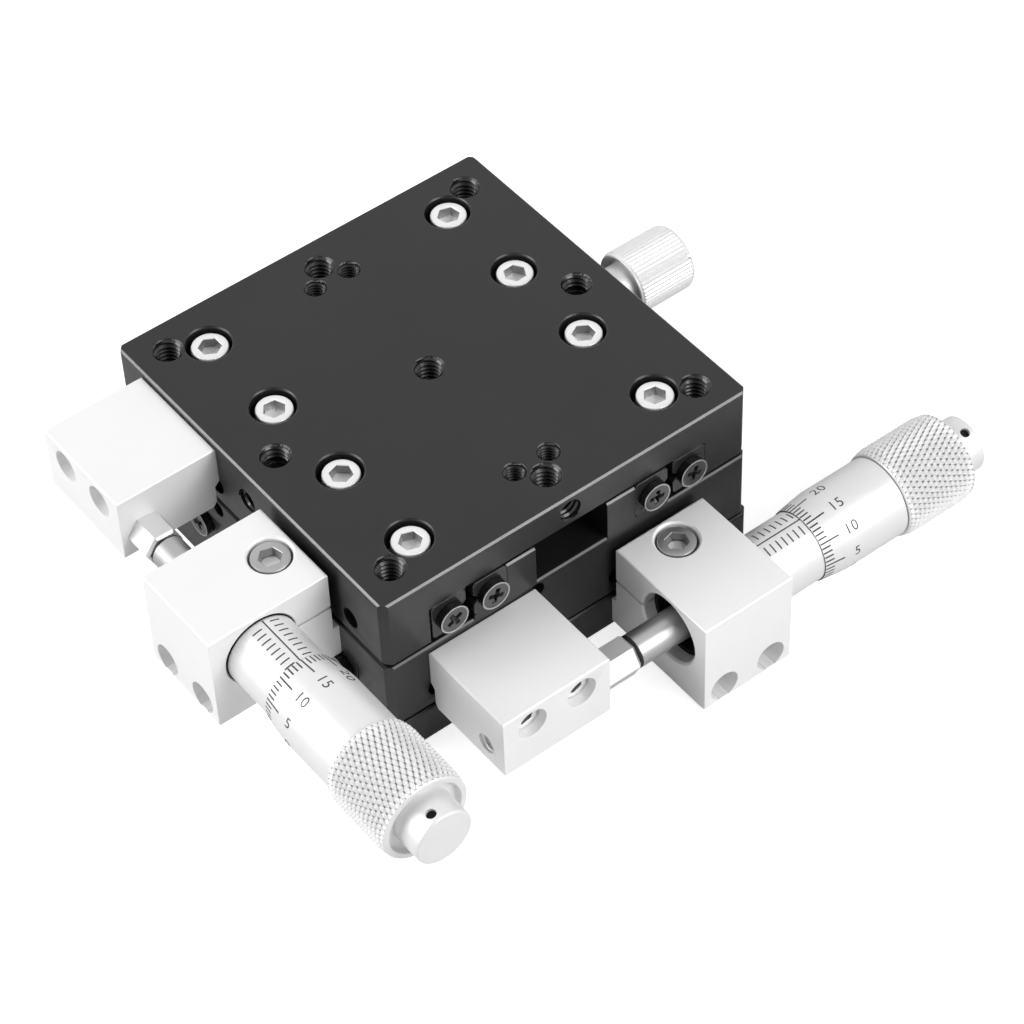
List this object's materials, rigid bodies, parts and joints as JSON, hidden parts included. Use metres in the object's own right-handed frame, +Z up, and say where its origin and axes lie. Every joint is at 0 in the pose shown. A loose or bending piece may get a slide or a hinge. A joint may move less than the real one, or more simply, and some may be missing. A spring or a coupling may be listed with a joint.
{
  "type": "linear stage",
  "caption": "Two-axis crossed-roller linear stage: stacked square plates on roller rails, a micrometer head driving each axis, and a knurled thumbscrew that locks the table.",
  "frame": {"origin": "centre of the base plate's bottom face", "axes": "+Z up out of the table; +X along the table's travel, towards the upper thimble; +Y along the saddle's travel, towards the lower thimble"},
  "size_m": [0.0892, 0.1085, 0.03],
  "materials": {
    "black_anodised": "fine matt black anodised",
    "silver_anodised": "satin clear anodised",
    "rail_steel": "ground bearing steel",
    "cage_brass": "stamped",
    "polished_steel": "ground and polished",
    "blackened_steel": "black oxide",
    "screw_steel": "bright stainless",
    "satin_chrome": "satin chrome",
    "spring_steel": "drawn wire",
    "pin_brass": "turned"
  },
  "bodies": {
    "base": {"base_plate": "black_anodised", "base_rail_left": "rail_steel", "base_rail_right": "rail_steel", "base_rail_screws": "screw_steel", "base_end_screws": "blackened_steel", "y_clamp_block": "silver_anodised", "y_clamp_screws": "screw_steel", "y_pinch_screw": "screw_steel", "y_sleeve": "satin_chrome", "y_spring": "spring_steel", "base_spring_post": "spring_steel"},
    "saddle": {"saddle_plate": "black_anodised", "saddle_lower_rail_left": "rail_steel", "saddle_lower_rail_right": "rail_steel", "saddle_upper_rail_front": "rail_steel", "saddle_upper_rail_back": "rail_steel", "saddle_lower_rail_screws": "screw_steel", "saddle_upper_rail_screws": "screw_steel", "saddle_lower_end_screws": "blackened_steel", "saddle_upper_end_screws": "blackened_steel", "saddle_preload_screws": "blackened_steel", "y_stop_block": "silver_anodised", "y_stop_screws": "screw_steel", "y_anvil": "polished_steel", "x_clamp_block": "silver_anodised", "x_clamp_screws": "screw_steel", "x_pinch_screw": "screw_steel", "x_sleeve": "satin_chrome", "x_spring": "spring_steel", "saddle_lower_spring_post": "spring_steel", "saddle_upper_spring_post": "spring_steel"},
    "table": {"table_plate": "black_anodised", "table_rail_front": "rail_steel", "table_rail_back": "rail_steel", "table_rail_screws": "screw_steel", "table_end_screws": "blackened_steel", "table_preload_screws": "blackened_steel", "x_stop_block": "silver_anodised", "x_stop_screws": "screw_steel", "x_anvil": "polished_steel", "table_spring_post": "spring_steel"},
    "y_thimble_unit": {"y_spindle": "polished_steel", "y_thimble": "satin_chrome", "y_end_cap": "satin_chrome"},
    "x_thimble_unit": {"x_spindle": "polished_steel", "x_thimble": "satin_chrome", "x_end_cap": "satin_chrome"},
    "y_cage_left_unit": {"y_cage_left": "cage_brass", "y_rollers_left": "polished_steel"},
    "y_cage_right_unit": {"y_cage_right": "cage_brass", "y_rollers_right": "polished_steel"},
    "x_cage_front_unit": {"x_cage_front": "cage_brass", "x_rollers_front": "polished_steel"},
    "x_cage_back_unit": {"x_cage_back": "cage_brass", "x_rollers_back": "polished_steel"},
    "lock_screw": {"lock_screw": "satin_chrome"},
    "lock_pin": {"lock_pin": "pin_brass"}
  },
  "joints": [
    {"name": "y_travel", "type": "slide", "parent": "base", "child": "saddle", "axis": [0, 1, 0], "range_m": [-0.00595, 0.00705], "deforming": ["y_spring"]},
    {"name": "x_travel", "type": "slide", "parent": "saddle", "child": "table", "axis": [1, 0, 0], "range_m": [-0.0063, 0.0067], "deforming": ["x_spring"]},
    {"name": "y_thimble_turn", "type": "hinge", "parent": "saddle", "child": "y_thimble_unit", "pos_m": [0.0417, 0, 0.0098], "axis": [0, 1, 0], "range_deg": [-4284, 5076]},
    {"name": "x_thimble_turn", "type": "hinge", "parent": "table", "child": "x_thimble_unit", "pos_m": [0, -0.04225, 0.0218], "axis": [1, 0, 0], "range_deg": [-4536, 4824]},
    {"name": "y_cage_left_travel", "type": "slide", "parent": "base", "child": "y_cage_left_unit", "axis": [0, 1, 0], "range_m": [-0.00298, 0.00352]},
    {"name": "y_cage_right_travel", "type": "slide", "parent": "base", "child": "y_cage_right_unit", "axis": [0, 1, 0], "range_m": [-0.00298, 0.00352]},
    {"name": "x_cage_front_travel", "type": "slide", "parent": "saddle", "child": "x_cage_front_unit", "axis": [1, 0, 0], "range_m": [-0.00315, 0.00335]},
    {"name": "x_cage_back_travel", "type": "slide", "parent": "saddle", "child": "x_cage_back_unit", "axis": [1, 0, 0], "range_m": [-0.00315, 0.00335]},
    {"name": "lock_turn", "type": "hinge", "parent": "table", "child": "lock_screw", "pos_m": [-0.0002, 0.03, 0.0248], "axis": [0, 1, 0], "range_deg": [-180, 0]},
    {"name": "lock_pin_travel", "type": "slide", "parent": "table", "child": "lock_pin", "axis": [0, 1, 0], "range_m": [-0.00035, 0]}
  ],
  "couplings": [
    {"joint": "y_thimble_turn", "follows": "y_travel", "rad_per_m": 12566},
    {"joint": "x_thimble_turn", "follows": "x_travel", "rad_per_m": 12566},
    {"joint": "y_cage_left_travel", "follows": "y_travel", "ratio": 0.5},
    {"joint": "y_cage_right_travel", "follows": "y_travel", "ratio": 0.5},
    {"joint": "x_cage_front_travel", "follows": "x_travel", "ratio": 0.5},
    {"joint": "x_cage_back_travel", "follows": "x_travel", "ratio": 0.5},
    {"joint": "lock_turn", "follows": "lock_pin_travel", "rad_per_m": 8976}
  ]
}
